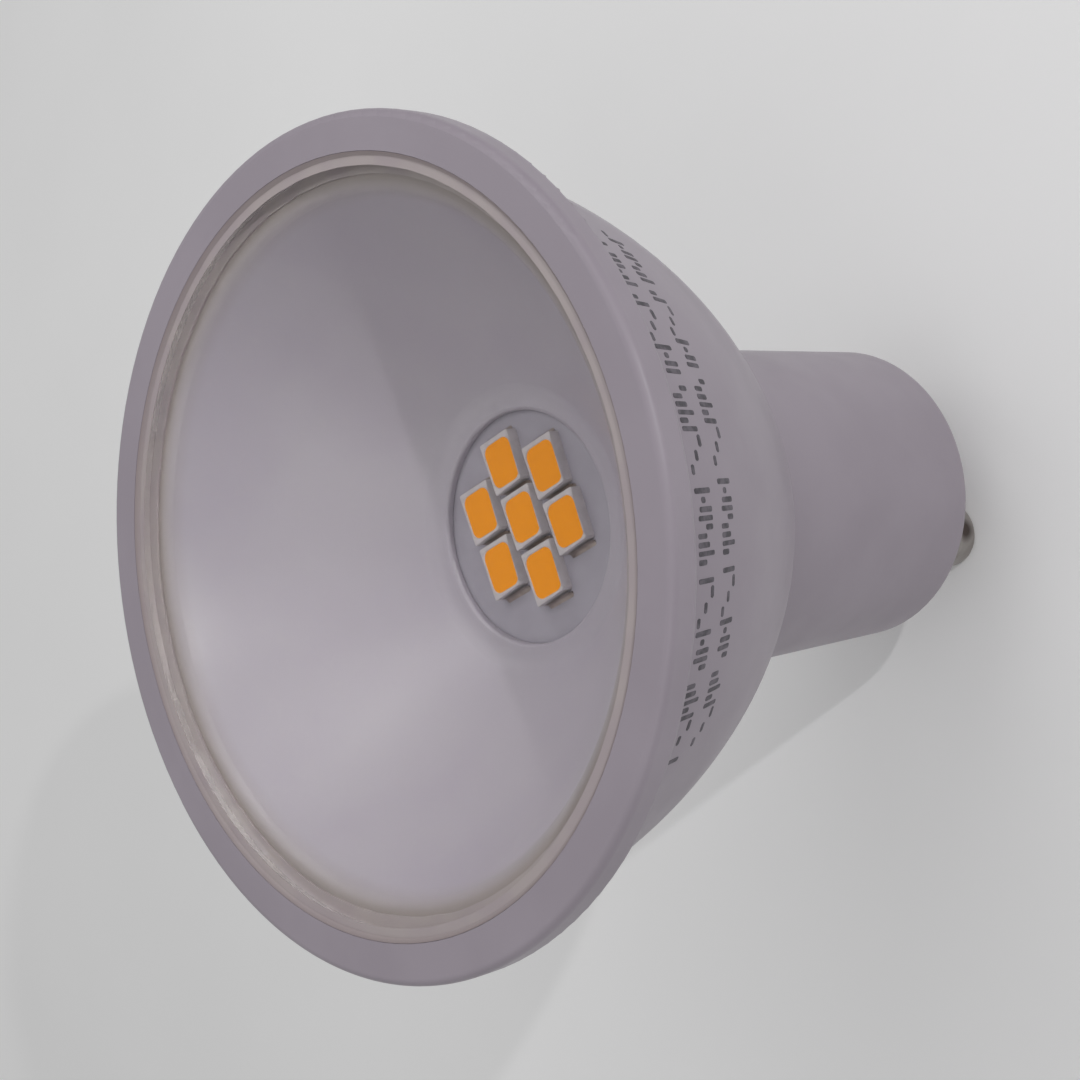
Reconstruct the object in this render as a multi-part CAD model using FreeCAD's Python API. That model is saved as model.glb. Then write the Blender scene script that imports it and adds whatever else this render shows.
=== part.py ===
import FreeCAD, Part
import math
import os

# GU10 spotlight bulb, millimetres.
# Frame: origin at the centre of the base face between the two pins, +Z towards the lens
# and the light, X along the line through the two pins.

# Housing: one white moulding of rim, bowl and neck
rim_d = 50.0
neck_h = 21.3
bowl_h = 26.0
rim_band = 1.9
rim_overhang = 2.1
rim_front_round = 0.5
rim_back_round = 0.35
rim_fillet = 0.4
bowl_curve_r = 36.1
bowl_wall = 1.3
neck_top_r = 11.1
neck_end_r = 10.72
neck_wall = 1.3
neck_fillet = 1.6
base_round = 0.65
base_floor = 2.0

# Pocket in the rim that takes the reflector flange, the sealant and the lens
rim_face_w = 2.43
pocket_draft = 0.37
lens_t = 1.1
lens_recess = 0.25
lens_chamfer = 0.25
lens_clear = 0.15
bed_t = 0.15
bed_w = 0.75
bead_h = 1.1
bead_slope = 0.18
seal_clear = 0.02

# Reflector: glossy white bowl with a flat lip round the lamp board
flange_t = 0.8
flange_clear = 0.15
flange_w = 1.6
reflector_curve_r = 39.0
reflector_wall = 0.8
reflector_edge_round = 1.0
board_window_r = 7.35
lip_w = 1.2
lip_h = 0.5
lip_round = 0.25
lip_blend = 2.0
lip_clear = 0.05

# Heat sink cup, thermal pad and lamp board
board_share = 0.554
board_gap = 1.14
board_t = 1.0
pad_inset = 0.5
pad_t = 0.3
cup_floor_t = 1.2
cup_wall = 1.0
cup_drop = 2.0
cup_clear = 0.1
cup_round = 0.5

# Surface-mount light packages: one in the middle and six round it, a little off the axis
led_ring_count = 6
led_ring_r = 3.85
led_ring_turn = -16.0
led_shift = 0.62
led_shift_turn = -45.0
led_turn = -19.0
led_l = 3.5
led_w = 2.8
led_h = 0.8
led_corner = 0.45
window_l = 2.9
window_w = 2.5
window_depth = 0.3
window_round = 0.4
phosphor_dip = 0.02
solder_w = 2.3
solder_reach = 0.32
solder_h = 0.4

# Screws that clamp the board
screw_edge = 2.1
screw_r = 1.0
screw_l = 4.0
screw_head_r = 1.5
screw_head_h = 0.7
screw_head_round = 0.3
screw_slot = 0.3
screw_hole_clear = 0.15
screw_thread_clear = 0.02

# Headed contact pins
pin_spacing = 10.0
pin_l = 8.0
pin_head_r = 2.5
pin_head_t = 2.2
pin_head_round = 0.4
pin_neck_r = 1.5
pin_collar_r = 2.15
pin_collar_t = 0.4
pin_tail_r = 1.1
pin_tail_h = 2.2
pin_bore_clear = 0.05
pin_hole_clear = 0.03

# Driver board and the ribs that guide it in the neck
driver_gap = 0.62
driver_t = 1.0
driver_z = 7.0
driver_headroom = 3.6
driver_slot_clear = 0.12
driver_corner = 1.0
rib_h = 15.0
rib_t = 0.9
rib_in = 1.0
rib_sink = 0.7

# Driver components
cap_r = 3.15
cap_l = 10.0
cap_aside = 0.45
cap_groove = 0.25
choke_r = 3.0
choke_l = 8.0
choke_waist_r = 2.3
choke_flange = 1.2
choke_aside = 0.9
film_w = 7.2
film_t = 4.2
film_l = 6.0
film_z = 8.6
film_round = 0.5
bridge_w = 4.7
bridge_l = 3.9
bridge_t = 2.4
bridge_x = -3.4
chip_w = 3.9
chip_l = 4.9
chip_t = 1.5
chip_x = 3.4
chip_gap = 0.8
resistor_r = 1.2
resistor_l = 6.3
resistor_z = 8.4
resistor_gap = 1.5
terminal_r = 0.25
part_stand_off = 0.15

# Wires
wire_r = 0.5
wire_gap = 0.05
wire_hole_clear = 0.2
wire_bend = 1.2
feed_bend = 2.2
supply_lap = 4.0
feed_edge = 2.6
feed_angle = 64.0
feed_lap = 2.5
feed_drop = 1.9
feed_rise = 0.6
joint_r = 0.95
joint_h = 0.5

# Levels along the axis, from the front face down, and the radii that follow from the rim
body_h = neck_h + bowl_h
rim_r = rim_d / 2
mouth_r = rim_r - rim_overhang
pocket_mouth_r = rim_r - rim_face_w
pocket_r = pocket_mouth_r - pocket_draft
lens_r = pocket_r - lens_clear
reflector_mouth_r = pocket_r - flange_w
rim_back_z = body_h - rim_band
lens_top_z = body_h - lens_recess
lens_back_z = lens_top_z - lens_t
flange_top_z = lens_back_z - bed_t
ledge_z = flange_top_z - flange_t
board_top_z = body_h - board_share * bowl_h
board_z = board_top_z - board_t
pad_z = board_z - pad_t
cup_z = pad_z - cup_floor_t
cup_top_z = ledge_z - cup_drop


def vec(x, y, z):
    return FreeCAD.Vector(x, y, z)


def circle_centre(low, high, radius):
    """Centre of the arc of that radius from low to high, on the side of the axis."""
    middle_r = (low[0] + high[0]) / 2
    middle_z = (low[1] + high[1]) / 2
    run_r = high[0] - low[0]
    run_z = high[1] - low[1]
    chord = math.hypot(run_r, run_z)
    reach = math.sqrt(radius ** 2 - (chord / 2) ** 2)
    return (middle_r - reach * run_z / chord, middle_z + reach * run_r / chord)


def r_on(centre, radius, z):
    """Distance from the axis of the circle's outer side at height z."""
    return centre[0] + math.sqrt(radius ** 2 - (z - centre[1]) ** 2)


def z_on(centre, radius, r):
    """Height of the circle's lower side at distance r from the axis."""
    return centre[1] - math.sqrt(radius ** 2 - (r - centre[0]) ** 2)


def arc_to(centre, radius, start, end):
    """A profile step that follows the circle from start to end."""
    angle_a = math.atan2(start[1] - centre[1], start[0] - centre[0])
    angle_b = math.atan2(end[1] - centre[1], end[0] - centre[0])
    angle = (angle_a + angle_b) / 2
    middle = (centre[0] + radius * math.cos(angle), centre[1] + radius * math.sin(angle))
    return (middle, end)


def corner_to(start, corner, end):
    """A profile step that rounds the corner between start and end with a quarter circle."""
    pull = 1 - math.sqrt(0.5)
    middle_r = corner[0] + pull * (start[0] + end[0] - 2 * corner[0])
    middle_z = corner[1] + pull * (start[1] + end[1] - 2 * corner[1])
    return ((middle_r, middle_z), end)


def revolved(steps):
    """Solid turned round Z from a closed outline of (r, z) corners and (middle, end) arcs."""
    edges = []
    here = vec(steps[0][0], 0, steps[0][1])
    first = here
    for step in steps[1:]:
        if isinstance(step[0], tuple):
            middle, end = step
            there = vec(end[0], 0, end[1])
            edges.append(Part.Arc(here, vec(middle[0], 0, middle[1]), there).toShape())
        else:
            there = vec(step[0], 0, step[1])
            edges.append(Part.makeLine(here, there))
        here = there
    if here.distanceToPoint(first) > 1e-6:
        edges.append(Part.makeLine(here, first))
    face = Part.Face(Part.Wire(edges))
    return face.revolve(vec(0, 0, 0), vec(0, 0, 1), 360)


def ring_edges(shape, r, z):
    """The circular edges of that radius at that height."""
    found = []
    for edge in shape.Edges:
        curve = edge.Curve
        if isinstance(curve, Part.Circle) and abs(curve.Radius - r) < 0.01:
            if abs(curve.Center.z - z) < 0.01:
                found.append(edge)
    return found


def upright_edges(shape):
    """The straight edges along Z."""
    found = []
    for edge in shape.Edges:
        run = edge.Vertexes[-1].Point - edge.Vertexes[0].Point
        if isinstance(edge.Curve, Part.Line) and abs(run.x) + abs(run.y) < 1e-6:
            found.append(edge)
    return found


def block(x0, y0, z0, x1, y1, z1):
    return Part.makeBox(x1 - x0, y1 - y0, z1 - z0, vec(x0, y0, z0))


def rod(radius, length, x, y, z):
    return Part.makeCylinder(radius, length, vec(x, y, z))


def bent_rod(points, radius, bend):
    """Round rod along straight runs that are joined by tangent arcs."""
    knots = [vec(*point) for point in points]
    edges = []
    here = knots[0]
    for before, corner, after in zip(knots, knots[1:], knots[2:]):
        back = (before - corner).normalize()
        ahead = (after - corner).normalize()
        half = back.getAngle(ahead) / 2
        start = corner + back * (bend / math.tan(half))
        end = corner + ahead * (bend / math.tan(half))
        inward = (back + ahead).normalize()
        middle = corner + inward * (bend / math.sin(half) - bend)
        edges.append(Part.makeLine(here, start))
        edges.append(Part.Arc(start, middle, end).toShape())
        here = end
    edges.append(Part.makeLine(here, knots[-1]))
    path = Part.Wire(edges)
    ring = Part.Wire(Part.makeCircle(radius, knots[0], knots[1] - knots[0]))
    return path.makePipeShell([ring], True, False)


def turned(shape, degrees, x=0.0, y=0.0, z=0.0):
    """A copy turned about Z and then moved."""
    copy = shape.copy()
    copy.rotate(vec(0, 0, 0), vec(0, 0, 1), degrees)
    copy.translate(vec(x, y, z))
    return copy


def save(node, shape):
    """Writes one node, after a test that its solids are closed and sound."""
    if not shape.isValid() or not shape.Solids:
        raise ValueError(node + " is not a sound solid")
    print(node, len(shape.Solids), "solid", round(shape.Volume, 2), "mm3")
    shape.exportStep("parts/" + node + ".step")


# The bowl's outside is one arc from the neck to the rim. Its inside and both sides of the
# cup are concentric with it, and the board and what is on it take their room from the cup.
neck_joint = (neck_top_r, neck_h)
bowl_mouth = (mouth_r, rim_back_z)
bowl_centre = circle_centre(neck_joint, bowl_mouth, bowl_curve_r)
bowl_inner_r = bowl_curve_r - bowl_wall
cup_outer_r = bowl_inner_r - cup_clear
cup_inner_r = cup_outer_r - cup_wall
board_r = r_on(bowl_centre, cup_inner_r, pad_z) - board_gap
screw_place_r = board_r - screw_edge
screw_spots = [(screw_place_r, 0.0), (-screw_place_r, 0.0)]
feed_x = (board_r - feed_edge) * math.cos(math.radians(feed_angle))
feed_y = -(board_r - feed_edge) * math.sin(math.radians(feed_angle))
feed_spots = [(feed_x, feed_y), (-feed_x, feed_y)]

# The driver board fills the neck's width and ends below the cup.
driver_w = 2 * (neck_end_r - neck_wall - driver_gap)
driver_l = cup_z - driver_headroom - driver_z
cap_x = -cap_r - cap_aside
cap_z = resistor_z + resistor_l + resistor_gap
choke_x = choke_r + choke_aside
chip_z = film_z + film_l + chip_gap


def make_housing():
    """Rim, bowl and neck as one moulding, with the pocket for the lens and the board ribs."""
    neck_inner_top_r = neck_top_r - neck_wall
    inner_joint = (neck_inner_top_r, z_on(bowl_centre, bowl_inner_r, neck_inner_top_r))
    ledge_in = (r_on(bowl_centre, bowl_inner_r, ledge_z), ledge_z)
    front_a = (rim_r - rim_front_round, body_h)
    front_b = (rim_r, body_h - rim_front_round)
    back_a = (rim_r, rim_back_z + rim_back_round)
    back_b = (rim_r - rim_back_round, rim_back_z)
    base_a = (neck_end_r, base_round)
    base_b = (neck_end_r - base_round, 0.0)
    shell = revolved([
        (pocket_mouth_r, body_h),
        front_a,
        corner_to(front_a, (rim_r, body_h), front_b),
        back_a,
        corner_to(back_a, (rim_r, rim_back_z), back_b),
        bowl_mouth,
        arc_to(bowl_centre, bowl_curve_r, bowl_mouth, neck_joint),
        base_a,
        corner_to(base_a, (neck_end_r, 0.0), base_b),
        (0.0, 0.0),
        (0.0, base_floor),
        (neck_end_r - neck_wall, base_floor),
        inner_joint,
        arc_to(bowl_centre, bowl_inner_r, inner_joint, ledge_in),
        (pocket_r, ledge_z),
    ])
    shell = shell.makeFillet(rim_fillet, ring_edges(shell, mouth_r, rim_back_z))
    shell = shell.makeFillet(neck_fillet, ring_edges(shell, neck_top_r, neck_h))
    for side in (-1, 1):
        pin_x = side * pin_spacing / 2
        shell = shell.cut(rod(pin_neck_r + pin_hole_clear, base_floor + 2, pin_x, 0, -1))
        shell = shell.cut(rod(pin_collar_r + pin_hole_clear, pin_collar_t + 1, pin_x, 0, -1))
        shell = shell.fuse(make_guide(side))
    return shell.removeSplitter()


def make_guide(side):
    """Slot between two ribs at one side of the neck, with a step that the board stands on."""
    slot = driver_t / 2 + driver_slot_clear
    near = driver_w / 2 - rib_in
    far = neck_end_r - neck_wall + rib_sink
    x0 = min(side * near, side * far)
    x1 = max(side * near, side * far)
    rib_a = block(x0, slot, base_floor - rib_sink, x1, slot + rib_t, rib_h)
    rib_b = block(x0, -slot - rib_t, base_floor - rib_sink, x1, -slot, rib_h)
    step = block(x0, -slot, base_floor - rib_sink, x1, slot, driver_z)
    return rib_a.fuse(rib_b).fuse(step)


def make_heat_sink_cup():
    """Pressed cup that follows the inside of the bowl and carries the board on its floor."""
    low_out = (r_on(bowl_centre, cup_outer_r, cup_z), cup_z)
    top_out = (r_on(bowl_centre, cup_outer_r, cup_top_z), cup_top_z)
    top_in = (r_on(bowl_centre, cup_inner_r, cup_top_z), cup_top_z)
    low_in = (r_on(bowl_centre, cup_inner_r, pad_z), pad_z)
    cup = revolved([
        (0.0, cup_z),
        low_out,
        arc_to(bowl_centre, cup_outer_r, low_out, top_out),
        top_in,
        arc_to(bowl_centre, cup_inner_r, top_in, low_in),
        (0.0, pad_z),
    ])
    cup = cup.makeFillet(cup_round, ring_edges(cup, low_out[0], cup_z))
    for x, y in screw_spots:
        cup = cup.cut(rod(screw_r + screw_thread_clear, cup_floor_t + 2, x, y, cup_z - 1))
    return cut_feed_holes(cup, cup_z, cup_floor_t)


def cut_feed_holes(shape, z, thickness):
    """Holes for the two wires that come up to the lamp board."""
    for x, y in feed_spots:
        shape = shape.cut(rod(wire_r + wire_hole_clear, thickness + 2, x, y, z - 1))
    return shape


def make_disc(radius, thickness, z):
    """Round sheet with the screw holes and the wire holes."""
    disc = rod(radius, thickness, 0, 0, z)
    for x, y in screw_spots:
        disc = disc.cut(rod(screw_r + screw_hole_clear, thickness + 2, x, y, z - 1))
    return cut_feed_holes(disc, z, thickness)


def make_reflector():
    """Thin bowl: a flange in the rim pocket, one arc, and a flat lip round the board."""
    foot_z = board_top_z + lip_clear
    lip_top_z = foot_z + lip_h
    corner = (board_window_r + lip_w, lip_top_z)
    mouth = (reflector_mouth_r, flange_top_z)
    centre = circle_centre(corner, mouth, reflector_curve_r)
    outer = reflector_curve_r + reflector_wall
    foot_top = (r_on(centre, outer, foot_z), foot_z)
    under = (r_on(centre, outer, ledge_z), ledge_z)
    flange_r = pocket_r - flange_clear
    bowl = revolved([
        (flange_r, flange_top_z),
        mouth,
        arc_to(centre, reflector_curve_r, mouth, corner),
        (board_window_r, lip_top_z),
        (board_window_r, foot_z),
        foot_top,
        arc_to(centre, outer, foot_top, under),
        (flange_r, ledge_z),
    ])
    bowl = bowl.makeFillet(lip_blend, ring_edges(bowl, corner[0], lip_top_z))
    bowl = bowl.makeFillet(lip_round, ring_edges(bowl, board_window_r, lip_top_z))
    return bowl.makeFillet(reflector_edge_round, ring_edges(bowl, reflector_mouth_r, flange_top_z))


def make_cover_lens():
    """Flat clear disc with a small chamfer on its outer edge."""
    return revolved([
        (0.0, lens_back_z),
        (lens_r, lens_back_z),
        (lens_r, lens_top_z - lens_chamfer),
        (lens_r - lens_chamfer, lens_top_z),
        (0.0, lens_top_z),
    ])


def make_lens_adhesive():
    """Bead of sealant: a thin bed under the lens, squeezed up between its edge and the rim."""
    slope = (pocket_mouth_r - pocket_r) / (body_h - ledge_z)
    bead_top_z = lens_back_z + bead_h
    wall_low = pocket_r + slope * (flange_top_z - ledge_z) - seal_clear
    wall_high = pocket_r + slope * (bead_top_z - ledge_z) - seal_clear
    edge_r = lens_r + seal_clear
    return revolved([
        (lens_r - bed_w, flange_top_z),
        (wall_low, flange_top_z),
        (wall_high, bead_top_z),
        (edge_r, bead_top_z - bead_slope),
        (edge_r, lens_back_z),
        (lens_r - bed_w, lens_back_z),
    ])


def make_screws():
    """Two pan-head screws with a cross slot."""
    head_a = (screw_head_r, board_top_z + screw_head_h - screw_head_round)
    head_b = (screw_head_r - screw_head_round, board_top_z + screw_head_h)
    one = revolved([
        (0.0, board_top_z - screw_l),
        (screw_r, board_top_z - screw_l),
        (screw_r, board_top_z),
        (screw_head_r, board_top_z),
        head_a,
        corner_to(head_a, (head_a[0], head_b[1]), head_b),
        (0.0, head_b[1]),
    ])
    half = screw_slot / 2
    low = board_top_z + screw_head_h / 2
    one = one.cut(block(-screw_r, -half, low, screw_r, half, head_b[1] + 1))
    one = one.cut(block(-half, -screw_r, low, half, screw_r, head_b[1] + 1))
    return Part.makeCompound([turned(one, 0, x, y) for x, y in screw_spots])


def led_places():
    """Centres of the light packages: the middle one and the ring round it."""
    shift = math.radians(led_shift_turn)
    x = led_shift * math.cos(shift)
    y = led_shift * math.sin(shift)
    places = [(x, y)]
    for step in range(led_ring_count):
        angle = math.radians(led_ring_turn + step * 360.0 / led_ring_count)
        places.append((x + led_ring_r * math.cos(angle), y + led_ring_r * math.sin(angle)))
    return places


def make_window(z, depth):
    """Rounded slab of the phosphor window's outline."""
    slab = block(-window_l / 2, -window_w / 2, z, window_l / 2, window_w / 2, z + depth)
    return slab.makeFillet(window_round, upright_edges(slab))


def make_led_package():
    """Moulded package, long side on X, with one cut corner and a recess for the phosphor."""
    body = block(-led_l / 2, -led_w / 2, 0, led_l / 2, led_w / 2, led_h)
    marked = []
    for edge in upright_edges(body):
        point = edge.Vertexes[0].Point
        if point.x < 0 and point.y < 0:
            marked.append(edge)
    body = body.makeChamfer(led_corner, marked)
    return body.cut(make_window(led_h - window_depth, window_depth))


def make_led_solder(places):
    """Solder fillets from the package ends down to the board, joined where two ends meet."""
    low = vec(led_l / 2, -solder_w / 2, 0)
    foot = vec(led_l / 2 + solder_reach, -solder_w / 2, 0)
    high = vec(led_l / 2, -solder_w / 2, solder_h)
    wedge = Part.Face(Part.makePolygon([low, foot, high, low])).extrude(vec(0, solder_w, 0))
    pieces = []
    for x, y in places:
        for end in (0.0, 180.0):
            pieces.append(turned(wedge, led_turn + end, x, y, board_top_z))
    return pieces[0].multiFuse(pieces[1:])


def make_pin(x):
    """Headed contact pin with a collar let into the base face, riveted inside the floor."""
    tip = -pin_l
    back = tip + pin_head_t
    inner = base_floor
    tip_a = (pin_head_r - pin_head_round, tip)
    tip_b = (pin_head_r, tip + pin_head_round)
    back_a = (pin_head_r, back - pin_head_round)
    back_b = (pin_head_r - pin_head_round, back)
    bore_r = wire_r + pin_bore_clear
    pin = revolved([
        (0.0, tip),
        tip_a,
        corner_to(tip_a, (pin_head_r, tip), tip_b),
        back_a,
        corner_to(back_a, (pin_head_r, back), back_b),
        (pin_neck_r, back),
        (pin_neck_r, 0.0),
        (pin_collar_r, 0.0),
        (pin_collar_r, pin_collar_t),
        (pin_neck_r, pin_collar_t),
        (pin_neck_r, inner),
        (pin_collar_r, inner),
        (pin_collar_r, inner + pin_collar_t),
        (pin_tail_r, inner + pin_collar_t),
        (pin_tail_r, inner + pin_tail_h),
        (bore_r, inner + pin_tail_h),
        (bore_r, pin_collar_t),
        (0.0, pin_collar_t),
    ])
    return turned(pin, 0, x)


def make_supply_lead(side):
    """Wire from a pin's bore up to the face of the driver board."""
    x = side * pin_spacing / 2
    face_y = driver_t / 2 + wire_r + wire_gap
    tail_z = base_floor + pin_tail_h
    turn_z = driver_z - wire_gap
    return bent_rod([
        (x, 0, pin_collar_t + wire_gap),
        (x, 0, tail_z + wire_r),
        (x, face_y, turn_z),
        (x, face_y, driver_z + supply_lap),
    ], wire_r, wire_bend)


def make_feed_lead(spot):
    """Wire from the driver board across the bowl and up through the cup and the lamp board."""
    x, y = spot
    face_y = -driver_t / 2 - wire_r - wire_gap
    end_z = driver_z + driver_l
    return bent_rod([
        (x, face_y, end_z - feed_lap),
        (x, face_y, end_z),
        (x, y, cup_z - feed_drop),
        (x, y, board_top_z + feed_rise),
    ], wire_r, feed_bend)


def make_lead_solder():
    """Low cones of solder round the two wire ends on the lamp board."""
    hole_r = wire_r + seal_clear
    one = revolved([
        (hole_r, board_top_z),
        (joint_r, board_top_z),
        (wire_r + wire_hole_clear, board_top_z + joint_h),
        (hole_r, board_top_z + joint_h),
    ])
    return Part.makeCompound([turned(one, 0, x, y) for x, y in feed_spots])


def make_driver_board():
    """Upright circuit board whose edges stand in the slots of the neck."""
    half_w = driver_w / 2
    half_t = driver_t / 2
    top_z = driver_z + driver_l
    low = vec(-half_w, -half_t, driver_z)
    corners = [
        low,
        vec(half_w, -half_t, driver_z),
        vec(half_w, -half_t, top_z - driver_corner),
        vec(half_w - driver_corner, -half_t, top_z),
        vec(-half_w + driver_corner, -half_t, top_z),
        vec(-half_w, -half_t, top_z - driver_corner),
        low,
    ]
    return Part.Face(Part.makePolygon(corners)).extrude(vec(0, driver_t, 0))


def bent_terminal(x, body_y, z, out, face_y):
    """Thin lead that leaves a component along Z and turns to the board's face."""
    return bent_rod([(x, body_y, z), (x, body_y, z + out), (x, face_y, z + out)],
                    terminal_r, 2 * terminal_r)


def make_bulk_capacitor():
    """Electrolytic capacitor lying along the board, with its crimp groove and two leads."""
    groove_z = cap_l - cap_r / 2
    half_groove = 2 * cap_groove
    can = revolved([
        (0.0, 0.0),
        (cap_r - cap_groove, 0.0),
        (cap_r, cap_groove),
        (cap_r, groove_z - half_groove),
        ((cap_r - cap_groove, groove_z), (cap_r, groove_z + half_groove)),
        (cap_r, cap_l - cap_groove),
        (cap_r - cap_groove, cap_l),
        (0.0, cap_l),
    ])
    can.rotate(vec(0, 0, 0), vec(1, 0, 0), 180)
    face_y = driver_t / 2
    axis_y = face_y + part_stand_off + cap_r
    can.translate(vec(cap_x, axis_y, cap_z + cap_l))
    top_z = cap_z + cap_l
    for side in (-1, 1):
        can = can.fuse(bent_terminal(cap_x + side * cap_r / 2.5, axis_y, top_z, 3 * terminal_r, face_y))
    return can


def make_choke():
    """Drum choke: a winding between the two flanges of a ferrite bobbin."""
    axis_y = driver_t / 2 + part_stand_off + choke_r
    drum = revolved([
        (0.0, 0.0),
        (choke_r, 0.0),
        (choke_r, choke_flange),
        (choke_waist_r, choke_flange),
        (choke_waist_r, choke_l - choke_flange),
        (choke_r, choke_l - choke_flange),
        (choke_r, choke_l),
        (0.0, choke_l),
    ])
    drum.translate(vec(choke_x, axis_y, cap_z))
    top_z = cap_z + choke_l
    for side in (-1, 1):
        x = choke_x + side * choke_r / 2
        drum = drum.fuse(bent_terminal(x, axis_y, top_z, 3 * terminal_r, driver_t / 2))
    return drum


def make_film_capacitor():
    """Boxed film capacitor standing on the other face of the board."""
    face_y = -driver_t / 2
    body = block(-film_w / 2, face_y - film_t, film_z, film_w / 2, face_y, film_z + film_l)
    outer = []
    for edge in body.Edges:
        if edge.CenterOfMass.y < face_y - film_t / 4:
            outer.append(edge)
    return body.makeFillet(film_round, outer)


def make_chip_body(width, length, thickness, x, z, legs):
    """Moulded surface-mount body with a row of short legs on each side."""
    face_y = -driver_t / 2
    foot = part_stand_off
    body = block(x - width / 2, face_y - thickness, z, x + width / 2, face_y - foot, z + length)
    pitch = length / legs
    for step in range(legs):
        leg_z = z + pitch * (step + 0.5)
        half = pitch / 5
        body = body.fuse(block(x - width / 2 - 2 * foot, face_y - thickness / 2, leg_z - half,
                               x - width / 2 + foot, face_y, leg_z + half))
        body = body.fuse(block(x + width / 2 - foot, face_y - thickness / 2, leg_z - half,
                               x + width / 2 + 2 * foot, face_y, leg_z + half))
    return body.removeSplitter()


def make_fusible_resistor():
    """Axial resistor with a waisted body and its two bent leads."""
    axis_y = driver_t / 2 + part_stand_off + resistor_r
    cap_end = resistor_l / 4
    waist = resistor_r - part_stand_off
    body = revolved([
        (0.0, 0.0),
        (waist, 0.0),
        (resistor_r, part_stand_off),
        (resistor_r, cap_end - part_stand_off),
        (waist, cap_end),
        (waist, resistor_l - cap_end),
        (resistor_r, resistor_l - cap_end + part_stand_off),
        (resistor_r, resistor_l - part_stand_off),
        (waist, resistor_l),
        (0.0, resistor_l),
    ])
    body.translate(vec(0, axis_y, resistor_z))
    for start, direction in ((resistor_z, -1), (resistor_z + resistor_l, 1)):
        out = direction * 4 * terminal_r
        body = body.fuse(bent_terminal(0, axis_y, start, out, driver_t / 2))
    return body


os.makedirs("parts", exist_ok=True)

save("housing", make_housing())
save("heat_sink_cup", make_heat_sink_cup())
save("thermal_pad", make_disc(board_r - pad_inset, pad_t, pad_z))
save("led_board", make_disc(board_r, board_t, board_z))
save("board_screws", make_screws())
save("reflector", make_reflector())
save("lens_adhesive", make_lens_adhesive())
save("cover_lens", make_cover_lens())

package = make_led_package()
phosphor = make_window(led_h - window_depth, window_depth - phosphor_dip)
places = led_places()
for number, (place_x, place_y) in enumerate(places, start=1):
    save("led_package_%d" % number, turned(package, led_turn, place_x, place_y, board_top_z))
    save("led_phosphor_%d" % number, turned(phosphor, led_turn, place_x, place_y, board_top_z))
save("led_solder", make_led_solder(places))

save("contact_pin_live", make_pin(-pin_spacing / 2))
save("contact_pin_neutral", make_pin(pin_spacing / 2))
save("lead_live", make_supply_lead(-1))
save("lead_neutral", make_supply_lead(1))
save("lead_positive", make_feed_lead(feed_spots[0]))
save("lead_negative", make_feed_lead(feed_spots[1]))
save("lead_solder", make_lead_solder())

save("driver_board", make_driver_board())
save("bulk_capacitor", make_bulk_capacitor())
save("choke", make_choke())
save("film_capacitor", make_film_capacitor())
save("bridge_rectifier", make_chip_body(bridge_w, bridge_l, bridge_t, bridge_x, chip_z, 2))
save("driver_chip", make_chip_body(chip_w, chip_l, chip_t, chip_x, chip_z, 4))
save("fusible_resistor", make_fusible_resistor())
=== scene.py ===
# %% [markdown]
# # A GU10 spotlight bulb
#
# The lamp is a white moulded housing with a flared bowl, a clear disc over a glossy white
# reflector, seven small light packages on a round board, and two headed pins at the base.
# Its measured solids come from model.glb, in metres, with +Z from the base to the light.
# We give each solid the finish of the real stuff, and build in mesh code what is too fine
# for the solids: bevelled packages, solder, sealant and print.

# %% Load the measured model
import math

import bmesh
import bpy
from mathutils import Matrix, Vector, noise


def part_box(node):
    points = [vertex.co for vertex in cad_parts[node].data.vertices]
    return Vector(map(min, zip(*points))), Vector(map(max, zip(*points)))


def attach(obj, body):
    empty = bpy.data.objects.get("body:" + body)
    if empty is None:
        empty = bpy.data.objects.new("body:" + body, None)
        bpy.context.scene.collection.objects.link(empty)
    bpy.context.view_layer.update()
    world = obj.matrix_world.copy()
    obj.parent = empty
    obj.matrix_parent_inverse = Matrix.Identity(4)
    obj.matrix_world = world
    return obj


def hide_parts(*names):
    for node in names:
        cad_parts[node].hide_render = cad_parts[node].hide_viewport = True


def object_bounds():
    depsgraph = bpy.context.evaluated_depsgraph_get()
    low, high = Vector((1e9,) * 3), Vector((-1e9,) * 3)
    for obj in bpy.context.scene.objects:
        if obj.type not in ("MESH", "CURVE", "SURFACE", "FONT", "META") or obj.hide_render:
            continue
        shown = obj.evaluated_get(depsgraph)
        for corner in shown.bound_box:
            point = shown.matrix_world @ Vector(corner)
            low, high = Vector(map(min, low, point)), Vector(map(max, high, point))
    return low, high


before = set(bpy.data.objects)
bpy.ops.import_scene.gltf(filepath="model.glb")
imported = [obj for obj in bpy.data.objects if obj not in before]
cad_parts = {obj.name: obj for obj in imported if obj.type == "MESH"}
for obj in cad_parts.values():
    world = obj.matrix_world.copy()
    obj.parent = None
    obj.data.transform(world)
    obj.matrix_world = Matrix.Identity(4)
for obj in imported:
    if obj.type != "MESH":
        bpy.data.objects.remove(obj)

cad_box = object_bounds()
MM = 0.001
print("solids:", len(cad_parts), "box:", cad_box)

# %% [markdown]
# ## The camera
#
# The photograph shows the lamp on its side, seen from in front of the lens and a little to
# the side of the neck. Here the lamp stands on its pins, so the camera looks down on it and
# is rolled a quarter turn: the lamp's own +Z points to the left of the picture. Place,
# direction and lens were fitted to the rim, the bowl's outline and the round board. The
# fit puts the middle of the view beside the lamp, as in a cut from a wider picture, so the
# lens is shifted a little.

# %% Place the camera
camera_place = Vector((-54.7, -70.5, 116.5)) * MM
camera_forward = Vector((0.4528, 0.4661, -0.7601)).normalized()
camera_up = Vector((0.7071, -0.7071, -0.0125))


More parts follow.
